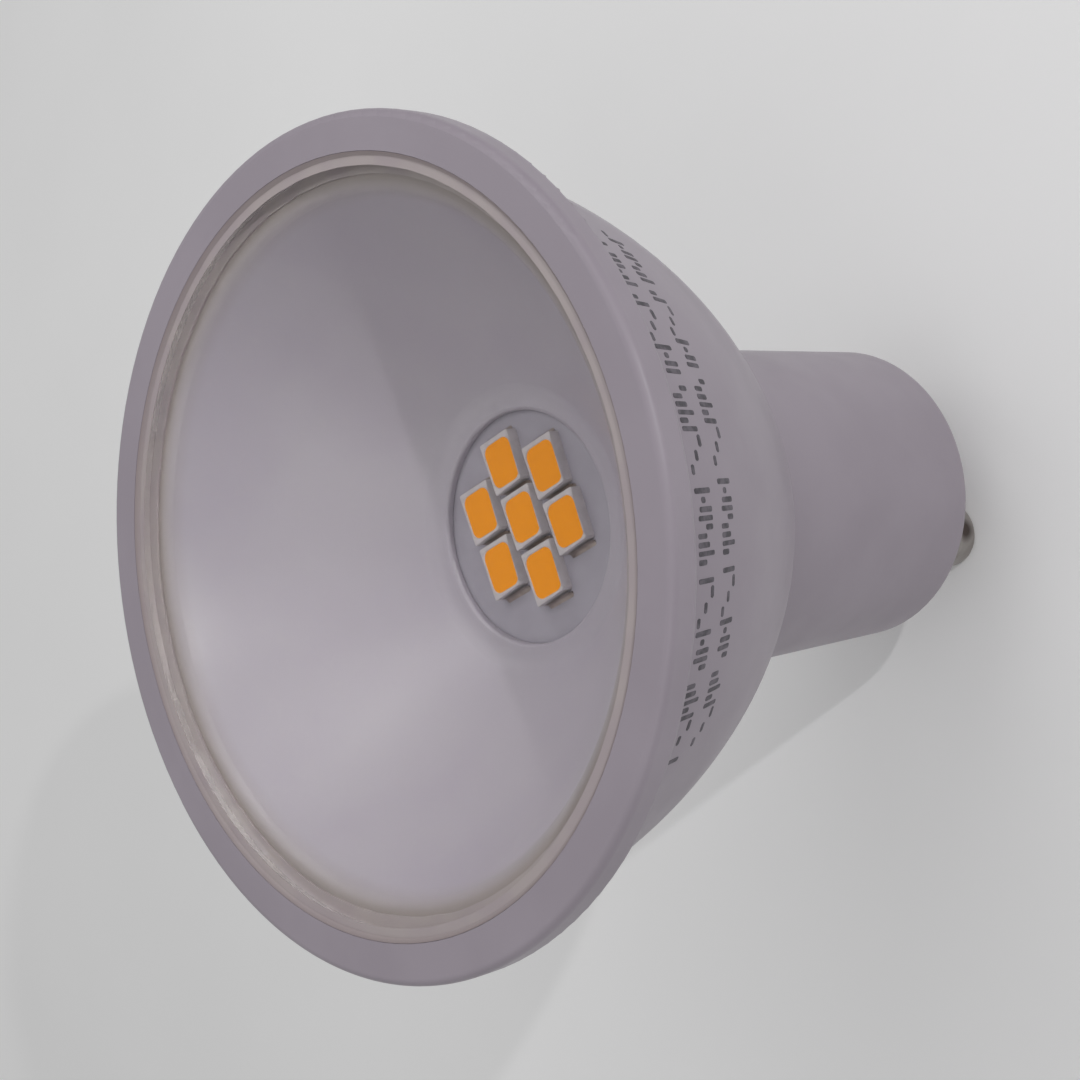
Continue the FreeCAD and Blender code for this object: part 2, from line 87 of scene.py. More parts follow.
def place_camera():
    data = bpy.data.cameras.new("camera")
    data.sensor_width = 36.0
    data.lens = 64.0
    data.shift_x = -0.185
    data.shift_y = -0.162
    data.clip_start = 0.01
    camera = bpy.data.objects.new("camera", data)
    right = camera_forward.cross(camera_up).normalized()
    up = right.cross(camera_forward)
    turn = Matrix((right, up, -camera_forward)).transposed()
    camera.matrix_world = Matrix.Translation(camera_place) @ turn.to_4x4()
    bpy.context.scene.collection.objects.link(camera)
    bpy.context.scene.camera = camera


place_camera()
bpy.context.scene.view_settings.view_transform = "Standard"
print("camera is", round(camera_place.length / MM), "mm from the base")

# %% [markdown]
# ## Helpers for materials
#
# Colours are written as sRGB hex values, as a paint program shows them. Blender's shaders
# want linear values, so one function turns them. A second one adds a node with its settings
# and its links in one call, which keeps each material short enough to read at a glance.


# %% Colour and node helpers
def linear(code):
    """sRGB hex, such as "#AFA7B1", as linear red, green, blue and alpha."""
    parts = [int(code[i:i + 2], 16) / 255 for i in (1, 3, 5)]
    turned = [c / 12.92 if c <= 0.04045 else ((c + 0.055) / 1.055) ** 2.4 for c in parts]
    return (*turned, 1.0)


def add(tree, kind, settings=None, links=None):
    """Adds one node, sets its inputs or properties by name, and links its inputs."""
    node = tree.nodes.new(kind)
    for name, value in (settings or {}).items():
        if name in node.inputs:
            node.inputs[name].default_value = value
        else:
            setattr(node, name, value)
    for name, source in (links or {}).items():
        tree.links.new(source, node.inputs[name])
    return node


def per_mm(size):
    """Texture scale at which one feature is about size millimetres across."""
    return 1.0 / (size * MM)


def start_material(name, settings):
    """A material with a Principled shader, and the lamp's own coordinates for patterns."""
    material = bpy.data.materials.new(name)
    material.use_nodes = True
    tree = material.node_tree
    tree.nodes.clear()
    place = add(tree, "ShaderNodeTexCoord").outputs["Object"]
    shader = add(tree, "ShaderNodeBsdfPrincipled", settings)
    add(tree, "ShaderNodeOutputMaterial", links={"Surface": shader.outputs["BSDF"]})
    return material, tree, place, shader


def vary(tree, place, shader, socket, size, low, high, detail=3.0):
    """Lets a number of the shader drift between low and high in soft patches."""
    cloud = add(tree, "ShaderNodeTexNoise", {"Scale": per_mm(size), "Detail": detail},
                {"Vector": place})
    spread = add(tree, "ShaderNodeMapRange",
                 {"From Min": 0.2, "From Max": 0.8, "To Min": low, "To Max": high,
                  "interpolation_type": "SMOOTHSTEP"},
                 {"Value": cloud.outputs["Fac"]})
    tree.links.new(spread.outputs["Result"], shader.inputs[socket])


def tint(tree, place, shader, size, first, second, detail=4.0):
    """Lets the colour drift between two near hex colours in soft patches."""
    cloud = add(tree, "ShaderNodeTexNoise", {"Scale": per_mm(size), "Detail": detail},
                {"Vector": place})
    ramp = add(tree, "ShaderNodeValToRGB", links={"Fac": cloud.outputs["Fac"]})
    ramp.color_ramp.interpolation = "EASE"
    ramp.color_ramp.elements[0].position = 0.35
    ramp.color_ramp.elements[0].color = linear(first)
    ramp.color_ramp.elements[1].position = 0.65
    ramp.color_ramp.elements[1].color = linear(second)
    tree.links.new(ramp.outputs["Color"], shader.inputs["Base Color"])


def roughen(tree, place, shader, size, depth, detail=2.0):
    """Raises the surface in grains of the given size and depth, both in millimetres."""
    grain = add(tree, "ShaderNodeTexNoise", {"Scale": per_mm(size), "Detail": detail},
                {"Vector": place})
    bump = add(tree, "ShaderNodeBump", {"Strength": 1.0, "Distance": depth * MM},
               {"Height": grain.outputs["Fac"]})
    tree.links.new(bump.outputs["Normal"], shader.inputs["Normal"])


# %% [markdown]
# ## Helpers for bands and spots
#
# Some colour sits in places, not all over: a darker tan band at the reflector's mouth,
# painted shade at the sealant's outer edge and on the back of one pin's head. Each such
# mark is a second colour mixed into the first by a share that the place on the lamp sets.
# One helper makes a band between two radii round the lamp's axis, the other a soft spot
# round one point.


# %% Band and spot helpers
# The Mix node lists its number, vector and colour sockets one after the other. These are
# the places of the two colours that go in and of the colour that comes out.
MIX_FIRST = 6
MIX_SECOND = 7
MIX_RESULT = 2


def mix_in(tree, shader, share, code):
    """Mixes a hex colour into what the shader's base colour already is."""
    clean = shader.inputs["Base Color"].links[0].from_socket
    both = add(tree, "ShaderNodeMix", {"data_type": "RGBA"}, {"Factor": share})
    tree.links.new(clean, both.inputs[MIX_FIRST])
    both.inputs[MIX_SECOND].default_value = linear(code)
    tree.links.new(both.outputs[MIX_RESULT], shader.inputs["Base Color"])


def radial_band(tree, place, shader, start, end, amount, code):
    """Mixes another colour in between two radii round the lamp's axis, in millimetres."""
    flat = add(tree, "ShaderNodeVectorMath", {"operation": "MULTIPLY"}, {0: place})
    flat.inputs[1].default_value = (1.0, 1.0, 0.0)
    radius = add(tree, "ShaderNodeVectorMath", {"operation": "LENGTH"},
                 {0: flat.outputs["Vector"]})
    share = add(tree, "ShaderNodeMapRange",
                {"From Min": start * MM, "From Max": end * MM, "To Max": amount},
                {"Value": radius.outputs["Value"]})
    mix_in(tree, shader, share.outputs["Result"], code)


def darken_spot(material, centre, radius, core, code):
    """Mixes a colour in round one point: full within core, gone at radius, in millimetres."""
    tree = material.node_tree
    shader = tree.nodes["Principled BSDF"]
    place = add(tree, "ShaderNodeTexCoord").outputs["Object"]
    away = add(tree, "ShaderNodeVectorMath", {"operation": "DISTANCE"}, {0: place})
    away.inputs[1].default_value = Vector(centre) * MM
    share = add(tree, "ShaderNodeMapRange",
                {"From Min": radius * MM, "From Max": core * MM},
                {"Value": away.outputs["Value"]})
    mix_in(tree, shader, share.outputs["Result"], code)


# %% [markdown]
# ## White plastics
#
# The housing is injection-moulded PBT, a tough white polyester that stands the heat of the
# driver. It leaves a spark-eroded mould, so its skin has a fine grain that turns highlights
# into a soft sheen. The reflector is moulded polycarbonate from a polished mould: the same
# white, but smooth, so the light draws clear streaks in it. Under the photograph's dim,
# slightly violet light both read as a pale lilac grey, so that is the colour we write.


# %% Housing and reflector plastics
def moulded_pbt():
    # A satin skin: the grain is about 0.12 mm in the mould, drawn at 0.25 mm so it shows.
    material, tree, place, shader = start_material("moulded_pbt", {"IOR": 1.57})
    tint(tree, place, shader, 9.0, "#958C96", "#9A919B")
    vary(tree, place, shader, "Roughness", 4.0, 0.38, 0.47)
    roughen(tree, place, shader, 0.25, 0.004)
    return material


def polished_polycarbonate():
    # Polished mould: a low roughness that drifts a little from uneven cooling. A soft band at
    # the mouth is mixed towards a darker tan.
    material, tree, place, shader = start_material("polished_polycarbonate", {"IOR": 1.58})
    tint(tree, place, shader, 12.0, "#A69FAA", "#AAA4AD")
    radial_band(tree, place, shader, 19.9, 21.1, 0.9, "#928884")
    vary(tree, place, shader, "Roughness", 14.0, 0.30, 0.36, detail=1.0)
    roughen(tree, place, shader, 0.9, 0.006, detail=1.0)
    return material


housing_plastic = moulded_pbt()
reflector_plastic = polished_polycarbonate()
print("plastics:", housing_plastic.name, reflector_plastic.name)

# %% [markdown]
# ## The clear lens
#
# The front is a flat disc of clear polycarbonate. Glass-like stuff bends light, which
# Blender traces well, but lamps can't shine straight through a bending surface. So for
# shadow rays alone the material becomes plain transparent, and the reflector behind it is
# lit as it is in the real lamp. The photograph shows no mirror image in the disc and hardly
# any shift of what lies behind it, so its bending power and its shine are set below those
# of a solid block of the plastic.


# %% Lens material
def clear_polycarbonate():
    # Clear and all but colourless, with a faint haze from handling.
    settings = {"Base Color": linear("#FBFBFA"), "IOR": 1.28, "Transmission Weight": 1.0,
                "Roughness": 0.02, "Specular IOR Level": 0.25}
    material, tree, place, shader = start_material("clear_polycarbonate", settings)
    path = add(tree, "ShaderNodeLightPath")
    clear = add(tree, "ShaderNodeBsdfTransparent", {"Color": linear("#F6F6F5")})
    both = add(tree, "ShaderNodeMixShader", links={0: path.outputs["Is Shadow Ray"]})
    tree.links.new(shader.outputs["BSDF"], both.inputs[1])
    tree.links.new(clear.outputs["BSDF"], both.inputs[2])
    output = tree.nodes["Material Output"]
    tree.links.new(both.outputs["Shader"], output.inputs["Surface"])
    return material


lens_plastic = clear_polycarbonate()
print("lens:", lens_plastic.name)

# %% [markdown]
# ## Sealant, board and light packages
#
# A bead of neutral silicone, gone slightly brown, holds the lens. The lamp board is an
# aluminium sheet under white solder resist, a lacquer with a faint orange peel. Each light
# package is a white resin frame filled with silicone that carries a yellow-orange phosphor
# powder: it looks grainy from close by, and under the clear disc hardly any shine is left.


# %% Sealant, resist, resin and phosphor
def aged_silicone_with_shade():
    # Milky and faintly tan; the darker brown band at the rim's wall is painted shade.
    material, tree, place, shader = start_material("aged_silicone_with_shade", {"IOR": 1.41})
    tint(tree, place, shader, 3.0, "#A69B9E", "#ABA1A1", detail=1.0)
    radial_band(tree, place, shader, 22.2, 22.5, 1.0, "#928687")
    vary(tree, place, shader, "Roughness", 1.0, 0.38, 0.52)
    roughen(tree, place, shader, 1.2, 0.015, detail=1.0)
    return material


def white_solder_resist():
    # Screen-printed lacquer: nearly flat, with an orange peel of about a third of a mm.
    material, tree, place, shader = start_material("white_solder_resist", {"IOR": 1.52})
    tint(tree, place, shader, 3.0, "#9A95A0", "#A09BA6")
    vary(tree, place, shader, "Roughness", 1.5, 0.35, 0.5)
    roughen(tree, place, shader, 0.35, 0.006)
    return material


def package_resin():
    # Glass-filled resin: its fibres leave a dry, slightly grainy white.
    material, tree, place, shader = start_material("package_resin", {"IOR": 1.55})
    tint(tree, place, shader, 0.6, "#BCB5B8", "#C4BDC0")
    vary(tree, place, shader, "Roughness", 0.5, 0.35, 0.5)
    roughen(tree, place, shader, 0.12, 0.004)
    return material


def phosphor_silicone():
    # The powder's grains are near 0.02 mm; they are drawn at 0.09 mm so that they show.
    settings = {"IOR": 1.41, "Specular IOR Level": 0.2}
    material, tree, place, shader = start_material("phosphor_silicone", settings)
    tint(tree, place, shader, 0.09, "#F09100", "#FC9D00", detail=2.0)
    vary(tree, place, shader, "Roughness", 0.3, 0.45, 0.6)
    roughen(tree, place, shader, 0.09, 0.003)
    return material


sealant = aged_silicone_with_shade()
resist = white_solder_resist()
resin = package_resin()
phosphor = phosphor_silicone()
print("front materials:", sealant.name, resist.name, resin.name, phosphor.name)

# %% [markdown]
# ## Metals
#
# Solder is a tin alloy: it sets with a dull, slightly rippled skin. The pins are brass with
# a nickel plate, tumbled before plating, so they shine softly. The cup is pressed from
# aluminium sheet and the screws are zinc plated. A metal shows its colour only in what it
# reflects, so each has full metallic and differs in roughness. One pin has painted shade on
# its head, next to the base: a soft dark spot round one point.


# %% Metal materials
def metal(name, first, second, patch, rough_low, rough_high, grain, depth):
    """A metal with colour patches of patch mm and grain of grain mm, depth mm deep."""
    material, tree, place, shader = start_material(name, {"Metallic": 1.0})
    tint(tree, place, shader, patch, first, second)
    vary(tree, place, shader, "Roughness", patch / 2, rough_low, rough_high)
    roughen(tree, place, shader, grain, depth)
    return material


# Set solder: bright tin under a dull skin, in ripples of a fifth of a millimetre.
solder_tin = metal("solder_tin", "#A0948D", "#B0A49D", 0.5, 0.35, 0.55, 0.2, 0.01)
# Tumbled and plated: small soft dents that spread a highlight.
nickel_plate = metal("nickel_plate", "#A09A96", "#B0ABA7", 1.5, 0.28, 0.42, 0.3, 0.006)
# Painted shade: a dark spot on the back of one pin's head, towards the base.
darken_spot(nickel_plate, (-6.3, -2.1, -6.6), 1.1, 0.44, "#5E5450")
# Pressing draws the aluminium's skin into long soft ripples.
pressed_aluminium = metal("pressed_aluminium", "#C6C6C9", "#D0D0D2", 4.0, 0.3, 0.45, 0.5, 0.01)
# Clear-passivated zinc: a fine crystalline grain with a trace of yellow.
zinc_plate = metal("zinc_plate", "#B4B5B2", "#C2C1B8", 0.8, 0.25, 0.4, 0.2, 0.005)
print("metals:", solder_tin.name, nickel_plate.name, pressed_aluminium.name, zinc_plate.name)

# %% [markdown]
# ## Stuff inside the neck
#
# None of it shows in the photograph, but a part in a library may be taken apart on screen,
# so each component still gets its own plain, true finish: glass-fibre laminate, a shrink
# sleeve, ferrite, moulded cases and wire insulation.


# %% Driver materials
def plain_stuff(name, first, second, rough, grain, depth):
    """A non-metal with a slight drift of colour and a fine grain."""
    material, tree, place, shader = start_material(name, {"IOR": 1.5})
    tint(tree, place, shader, 1.5, first, second)
    vary(tree, place, shader, "Roughness", 1.0, rough - 0.05, rough + 0.08)
    roughen(tree, place, shader, grain, depth)
    return material


# Grain and depth are in millimetres: strands in the laminate, wrinkles in the sleeve,
# sintered grit in the ferrite, mould spark in the cases, and smooth drawn insulation.
driver_finishes = {
    "driver_board": plain_stuff("glass_fibre_laminate", "#C9B77E", "#D3C28C", 0.45, 0.3, 0.01),
    "bulk_capacitor": plain_stuff("shrink_sleeve", "#20232C", "#272A34", 0.3, 0.5, 0.004),
    "choke": plain_stuff("varnished_ferrite", "#2B2624", "#3A322C", 0.5, 0.2, 0.02),
    "film_capacitor": plain_stuff("moulded_film_case", "#A8401E", "#B44A26", 0.35, 0.3, 0.004),
    "bridge_rectifier": plain_stuff("moulding_compound", "#1D1D1E", "#262627", 0.55, 0.1, 0.01),
    "fusible_resistor": plain_stuff("resistor_lacquer", "#6F7F66", "#7C8C72", 0.4, 0.2, 0.006),
    "thermal_pad": plain_stuff("silicone_pad", "#8C8E96", "#979AA1", 0.6, 0.3, 0.01),
    "lead_live": plain_stuff("brown_insulation", "#5A341D", "#663C22", 0.4, 0.4, 0.004),
    "lead_neutral": plain_stuff("blue_insulation", "#2C5FA8", "#3469B4", 0.4, 0.4, 0.004),
    "lead_positive": plain_stuff("red_insulation", "#B0241C", "#BE2E24", 0.4, 0.4, 0.004),
    "lead_negative": plain_stuff("black_insulation", "#1B1B1C", "#232324", 0.4, 0.4, 0.004),
}
driver_finishes["driver_chip"] = driver_finishes["bridge_rectifier"]
print("inner finishes:", len(driver_finishes))

# %% [markdown]
# ## Dress the measured solids
#
# The solids already have the true shape of every turned and moulded piece, so they stay,
# and only their material slots change. A table from node to material keeps this in sight.


# %% Give each solid its material
finishes = {
    "housing": housing_plastic,
    "reflector": reflector_plastic,
    "cover_lens": lens_plastic,
    "led_board": resist,
    "heat_sink_cup": pressed_aluminium,
    "board_screws": zinc_plate,
    "contact_pin_live": nickel_plate,
    "contact_pin_neutral": nickel_plate,
    "lead_solder": solder_tin,
    **driver_finishes,
}


def dress(node, material):
    """Puts one material in every slot of a solid."""
    for slot in bpy.data.objects[node].material_slots:
        slot.material = material


for node, material in finishes.items():
    dress(node, material)
print("dressed", len(finishes), "solids")

# %% [markdown]
# ## Mesh helper
#
# Every added piece is a mesh in the lamp's own coordinates that rides on the one body, an
# empty named body:root. This helper makes the object from a bmesh, shades it smooth except
# at sharp edges, and hides the solid that it stands for.


# %% Make a piece from a bmesh
def make_piece(name, shape, material, replaces=None, sharp=35):
    data = bpy.data.meshes.new(name)
    shape.normal_update()
    shape.to_mesh(data)
    shape.free()
    data.materials.append(material)
    piece = bpy.data.objects.new(name, data)
    bpy.context.scene.collection.objects.link(piece)
    data.shade_smooth()
    data.set_sharp_from_angle(angle=math.radians(sharp))
    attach(piece, "root")
    if replaces:
        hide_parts(replaces)


# %% [markdown]
# ## The light packages
#
# The real package is 3.5 by 2.8 mm and 0.8 mm high: a white resin frame with soft edges, a
# cut corner that marks one pole, and a window with sloping walls. Bevelled edges matter,
# because each catches a thin line of light. The window is a ring of rounded rectangles that
# get smaller on the way down, and the phosphor fills it to just under the brim.

# %% Package sizes and places
package_l = 3.5 * MM
package_w = 2.8 * MM
package_h = 0.8 * MM
package_corner = 0.12 * MM
window_corner = 0.6 * MM
window_l = 2.90 * MM
window_w = 2.50 * MM
board_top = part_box("led_board")[1][2]
# The row of packages is turned by this much from the line through the pins.
package_turn = math.radians(-19.0)
package_places = []
for number in range(1, 8):
    low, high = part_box("led_phosphor_%d" % number)
    package_places.append(((low[0] + high[0]) / 2, (low[1] + high[1]) / 2))
print("board top at", round(board_top / MM, 2), "mm, packages:", len(package_places))

# %% [markdown]
# ## Outlines and skins
#
# A form such as this package is a stack of outlines. We draw each outline as a list of
# points, always the same number of them, lift each list to its height, and skin between
# one list and the next. That gives clean four-sided faces, which a cut-out by a boolean
# modifier would not.


# %% Outlines of a package
def rounded_rectangle(length, width, radius, steps=5):
    """Points round a rectangle with rounded corners, counter-clockwise."""
    points = []
    for corner in range(4):
        side_x = 1 if corner in (0, 3) else -1
        side_y = 1 if corner in (0, 1) else -1
        centre_x = side_x * (length / 2 - radius)
        centre_y = side_y * (width / 2 - radius)
        for step in range(steps + 1):
            angle = math.radians(90 * (corner + step / steps))
            points.append((centre_x + radius * math.cos(angle),
                           centre_y + radius * math.sin(angle)))
    return points


def cut_corner(points, length, width, cut):
    """Pushes the outline in behind a slanted line across one corner."""
    limit = (length + width) / 2 - cut
    trimmed = []
    for x, y in points:
        over = -x - y - limit
        if over > 0:
            x += over / 2
            y += over / 2
        trimmed.append((x, y))
    return trimmed


def add_rings(shape, rings, close_top=False, close_bottom=False):
    """Skins a stack of (points, height) rings that have the same number of points."""
    loops = []
    for points, z in rings:
        loops.append([shape.verts.new((x, y, z)) for x, y in points])
    for lower, upper in zip(loops, loops[1:]):
        count = len(lower)
        for i in range(count):
            j = (i + 1) % count
            shape.faces.new((lower[i], lower[j], upper[j], upper[i]))
    if close_bottom:
        shape.faces.new(list(reversed(loops[0])))
    if close_top:
        shape.faces.new(loops[-1])


# %% [markdown]
# ## Build the seven packages
#
# The frame's outline goes up the side, over a rounded edge, across the top and down into
# the window. The fill is a second piece, because it is another material, poured in later:
# it stands a hair below the brim and bulges slightly in the middle.


# %% Package and fill shapes
def package_shape():
    """One package, long side on X, foot at zero."""
    shape = bmesh.new()
    edge = 0.07 * MM
    brim = 0.03 * MM
    cut = 0.45 * MM
    depth = 0.3 * MM

    def outline(inset, corner):
        length = package_l - 2 * inset
        width = package_w - 2 * inset
        return cut_corner(rounded_rectangle(length, width, corner), length, width, cut)

    outer = outline(0.0, package_corner)
    middle = outline(edge * 0.3, package_corner - 0.01 * MM)
    shoulder = outline(edge, package_corner - 0.02 * MM)
    lip = rounded_rectangle(window_l + 2 * brim, window_w + 2 * brim, window_corner + 0.02 * MM)
    window = rounded_rectangle(window_l, window_w, window_corner)
    floor = rounded_rectangle(window_l - depth, window_w - depth, window_corner - 0.1 * MM)
    add_rings(shape, [
        (outer, 0.0),
        (outer, package_h - edge),
        (middle, package_h - edge * 0.3),
        (shoulder, package_h),
        (lip, package_h),
        (window, package_h - brim),
        (floor, package_h - depth),
    ], close_top=True, close_bottom=True)
    return shape


def phosphor_shape():
    """The fill of one window, slightly domed by its own surface tension."""
    shape = bmesh.new()
    corner = window_corner - 0.01 * MM
    shore = package_h - 0.06 * MM
    dome = 0.035 * MM
    foot = rounded_rectangle(window_l * 0.9, window_w * 0.9, window_corner - 0.1 * MM)
    rings = [(foot, package_h - 0.25 * MM)]
    for share in (1.0, 0.99, 0.9, 0.7, 0.4, 0.12):
        points = rounded_rectangle(window_l * share, window_w * share, corner * share)
        rings.append((points, shore + dome * (1 - share ** 2)))
    add_rings(shape, rings, close_top=True, close_bottom=True)
    return shape


def set_on_board(shape, place):
    """Turns a package's shape to the array's direction and sets it on the board."""
    turn = Matrix.Rotation(package_turn, 4, "Z")
    move = Matrix.Translation((place[0], place[1], board_top))
    bmesh.ops.transform(shape, matrix=move @ turn, verts=shape.verts)
    return shape


# %% Set the packages on the board
for number, place in enumerate(package_places, start=1):
    make_piece("package_frame_%d" % number, set_on_board(package_shape(), place), resin,
               "led_package_%d" % number)
    make_piece("phosphor_fill_%d" % number, set_on_board(phosphor_shape(), place), phosphor,
               "led_phosphor_%d" % number)
print("packages and fills:", 2 * len(package_places))

# %% [markdown]
# ## Solder fillets
#
# Molten solder wets the end of a package and the pad on the board and sets in a hollow
# curve between them. From the camera's side each fillet is a dark bar, because the metal
# mirrors the shaded wall of the reflector. A quarter-circle section swept across the
# package's end gives that curve, and it draws in where the bead of metal ends.


# %% Build the solder
solder_w = 2.3 * MM
solder_reach = 0.32 * MM
solder_h = 0.4 * MM
solder_toe = 0.03 * MM
solder_lap = 0.01 * MM


def add_fillet(shape, place, end):
    """One hollow fillet at one end of a package."""
    face = package_l / 2
    section = [(face, 0.0), (face + solder_reach, 0.0)]
    steps = 6
    for step in range(1, steps + 1):
        angle = math.radians(90 * step / steps)
        x = face + solder_reach * (1 - math.sin(angle)) + solder_lap
        z = solder_h * (1 - math.cos(angle)) + solder_toe
        section.append((x, z))
    columns = []
    for share in (-1.0, -0.92, 0.0, 0.92, 1.0):
        shrink = 0.75 if abs(share) == 1.0 else 1.0
        column = []
        for x, z in section:
            x_in = face + (x - face) * shrink
            point = Vector((x_in * end, share * solder_w / 2 * end, z * shrink))
            point.rotate(Matrix.Rotation(package_turn, 3, "Z"))
            column.append(shape.verts.new(point + Vector((place[0], place[1], board_top))))
        columns.append(column)
    for left, right in zip(columns, columns[1:]):
        count = len(left)
        for i in range(count):
            j = (i + 1) % count
            shape.faces.new((left[i], left[j], right[j], right[i]))
    shape.faces.new(list(reversed(columns[0])))
    shape.faces.new(columns[-1])


solder = bmesh.new()
for place in package_places:
    for end in (-1, 1):
        add_fillet(solder, place, end)
bmesh.ops.recalc_face_normals(solder, faces=solder.faces)
make_piece("solder_fillets", solder, solder_tin, "led_solder", sharp=50)
print("solder fillets:", 2 * len(package_places))

# %% [markdown]
# ## The sealant bead
#
# The lens is pressed into a bead of silicone, which squeezes up between its edge and the
# rim. On the real lamp the bead is thin, brownish and never quite even, and it laps a
# little over the lens. A ring of sections with a slowly wandering width gives that, where a
# perfect turned ring would look like a machined part.

# %% Build the sealant
seal_low, seal_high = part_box("lens_adhesive")
crest_z = seal_high[2] - 0.02 * MM
lens_low, lens_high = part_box("cover_lens")
rim_face_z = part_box("housing")[1][2]
lens_r = lens_high[0]
lens_chamfer = 0.25 * MM
bed_in = lens_r - 0.75 * MM
wall_r = seal_high[0] + 0.03 * MM
skin = 0.015 * MM
lap_h = 0.04 * MM


def sealant_ring(steps=360):
    """A closed ring: bed under the lens, wall at the rim, sagging crest, lap on the lens."""
    shape = bmesh.new()
    edge = lens_r + skin
    sections = []
    # The quick ripple reads the noise at another place, so that it doesn't echo the slow one.
    elsewhere = Vector((5.0, 0.0, 0.0))
    for step in range(steps):
        angle = 2 * math.pi * step / steps
        around = Vector((math.cos(angle), math.sin(angle), 0.0))
        wander = noise.noise(around * 3.0)
        ripple = noise.noise(around * 14.0 + elsewhere)
        inner = bed_in + (0.10 * wander + 0.05 * ripple) * MM
        crest = crest_z + (0.06 * wander + 0.03 * ripple) * MM
        lap = lens_r - lens_chamfer - (0.04 + 0.03 * ripple) * MM
        section = [
            (inner, seal_low[2] + skin),
            (wall_r, seal_low[2] + skin),
            (wall_r, rim_face_z - 0.02 * MM),
            (wall_r - 0.06 * MM, rim_face_z - 0.04 * MM),
            ((wall_r + edge) / 2, crest + 0.03 * MM),
            (lens_r - lens_chamfer / 2, lens_high[2] + lap_h),
            (lap, lens_high[2] + lap_h),
            (lap, lens_high[2] + skin),
            (lens_r - lens_chamfer, lens_high[2] + skin),
            (edge, lens_high[2] - lens_chamfer),
            (edge, lens_low[2] - skin),
            (inner, lens_low[2] - skin),
        ]
        sections.append([shape.verts.new(around * r + Vector((0.0, 0.0, z)))
                         for r, z in section])
    for i in range(steps):
        here = sections[i]
        there = sections[(i + 1) % steps]
        for a in range(len(here)):
            b = (a + 1) % len(here)
            shape.faces.new((here[a], there[a], there[b], here[b]))
    bmesh.ops.recalc_face_normals(shape, faces=shape.faces)
    return shape


make_piece("sealant_bead", sealant_ring(), sealant, "lens_adhesive", sharp=40)
print("sealant crest near", round(crest_z / MM, 2), "mm")

# %% [markdown]
# ## Print on the bowl
#
# Behind the rim the real lamp has two rows of small grey pad print round part of the bowl.
# Words are not copied here: each row is a run of plain upright ticks of uneven height with
# short dashes among them, which gives the same broken grey from a step away. Each mark is a
# thin closed skin of ink that follows the bowl, so we read the bowl's own radius from the
# housing's mesh.


# %% Ink material and bowl radius
def pad_print_ink():
    # Pad print is thin and lets some white through, so it reads as grey and not as black.
    material, tree, place, shader = start_material("pad_print_ink", {"IOR": 1.5})
    tint(tree, place, shader, 0.5, "#423E45", "#68636B")
    vary(tree, place, shader, "Roughness", 0.5, 0.5, 0.65)
    roughen(tree, place, shader, 0.15, 0.003)
    return material


def bowl_radius(z):
    """Outer radius of the housing at height z, from a ray that runs in from outside."""
    # It passes a little beside the axis, so that it can't graze a seam between two faces.
    start = Vector((0.06, 0.0011, z))
    inwards = Vector((-1.0, 0.0, 0.0))
    point = bpy.data.objects["housing"].ray_cast(start, inwards)[1]
    return math.hypot(point.x, point.y)


ink = pad_print_ink()
print("bowl radius at 42 mm:", round(bowl_radius(42 * MM) / MM, 2), "mm")

# %% [markdown]
# ## Lay the marks
#
# The rows run from one angle to another round the lamp, in degrees from +X. Thirteen kinds
# of mark are taken in steps of five, so that no run repeats for long, and every ninth gap
# is wide, as between two words. Points are set at even steps along a mark and bent onto
# the bowl one by one, so a long dash follows the curve too.


# %% Rows and kinds of mark
print_from = 196.0
print_to = 279.0
row_stagger = 1.5
# Each row: its height on the lamp and the height of its tallest ticks, in millimetres.
print_rows = [(41.95, 1.5), (39.65, 1.35)]
# Each mark: its length along the row and its height, and how far it sits off the row's
# middle, as shares of the row's height.
mark_kinds = [
    (0.30, 1.00, 0.00), (0.28, 0.55, 0.22), (0.66, 0.20, -0.38), (0.30, 0.80, -0.10),
    (0.26, 1.00, 0.00), (0.56, 0.20, 0.38), (0.30, 0.45, -0.25), (0.28, 0.95, 0.02),
    (0.34, 0.26, 0.00), (0.30, 0.70, 0.15), (0.60, 0.20, 0.00), (0.28, 0.90, -0.05),
    (0.30, 0.50, 0.25),
]
mark_gap = 0.17
wide_gap = 4.0 * mark_gap
ink_proud = 0.012
ink_sunk = -0.02
print("kinds of mark:", len(mark_kinds))


# %% Build the print
def add_mark(shape, middle_z, height, start, length):
    """A closed skin of ink with round ends that follows the bowl, sizes in millimetres."""
    corner = min(height, length) * 0.35
    columns = []
    for share in (0.0, 0.12, 0.35, 0.65, 0.88, 1.0):
        along = share * length
        inside = min(along, length - along, corner)
        half = height / 2 - corner + math.sqrt(corner ** 2 - (corner - inside) ** 2)
        column = []
        for proud in (ink_proud, ink_sunk):
            for side in (1.0, 0.33, -0.33, -1.0):
                z = (middle_z + side * half) * MM
                radius = bowl_radius(z) + proud * MM
                angle = math.radians(start) + along * MM / radius
                point = (radius * math.cos(angle), radius * math.sin(angle), z)
                column.append(shape.verts.new(point))
        columns.append(column[:4] + list(reversed(column[4:])))
    for here, there in zip(columns, columns[1:]):
        count = len(here)
        for i in range(count):
            j = (i + 1) % count
            shape.faces.new((here[i], here[j], there[j], there[i]))
    shape.faces.new(list(reversed(columns[0])))
    shape.faces.new(columns[-1])


marks = bmesh.new()
mark_count = 0
for row, (row_z, row_h) in enumerate(print_rows):
    to_degrees = math.degrees(MM / bowl_radius(row_z * MM))
    angle = print_from + row_stagger * row
    while angle < print_to:
        length, height, off = mark_kinds[(mark_count * 5 + row * 3) % len(mark_kinds)]
        add_mark(marks, row_z + off * row_h, height * row_h, angle, length)
        gap = wide_gap if mark_count % 9 == 8 else mark_gap
        angle += (length + gap) * to_degrees
        mark_count += 1
bmesh.ops.recalc_face_normals(marks, faces=marks.faces)
make_piece("print_marks", marks, ink)
print("marks:", mark_count)

